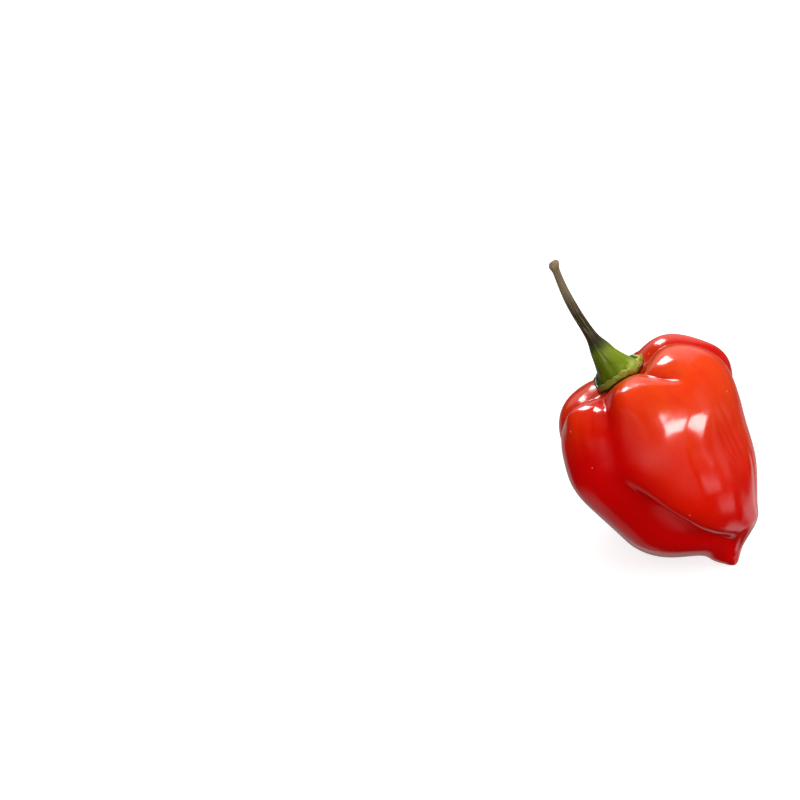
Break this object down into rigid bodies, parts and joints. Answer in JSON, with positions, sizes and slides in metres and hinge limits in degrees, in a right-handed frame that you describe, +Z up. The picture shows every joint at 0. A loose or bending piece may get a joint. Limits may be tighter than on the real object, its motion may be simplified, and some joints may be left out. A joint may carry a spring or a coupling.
{
  "type": "habanero pepper",
  "caption": "A ripe habanero pepper lying on its belly: a lobed and folded red fruit that narrows to a small blunt tip, with a green calyx and a thin bent stem",
  "frame": {"origin": "the middle of the small flat on the fruit's belly that the pepper rests on, at the height of the table", "axes": "+Z up from the table; -Y the way the broad front lobe faces; +X to the side where the fruit's right shoulder and blossom tip lie"},
  "size_m": [0.0418, 0.04, 0.0593],
  "materials": {
    "fruit_skin": "glossy ripe pepper skin, orange-red to deep red",
    "stem_skin": "satin green calyx, browning towards the stem's cut end"
  },
  "bodies": {
    "root": {"fruit": "fruit_skin", "stem": "stem_skin"}
  },
  "joints": []
}
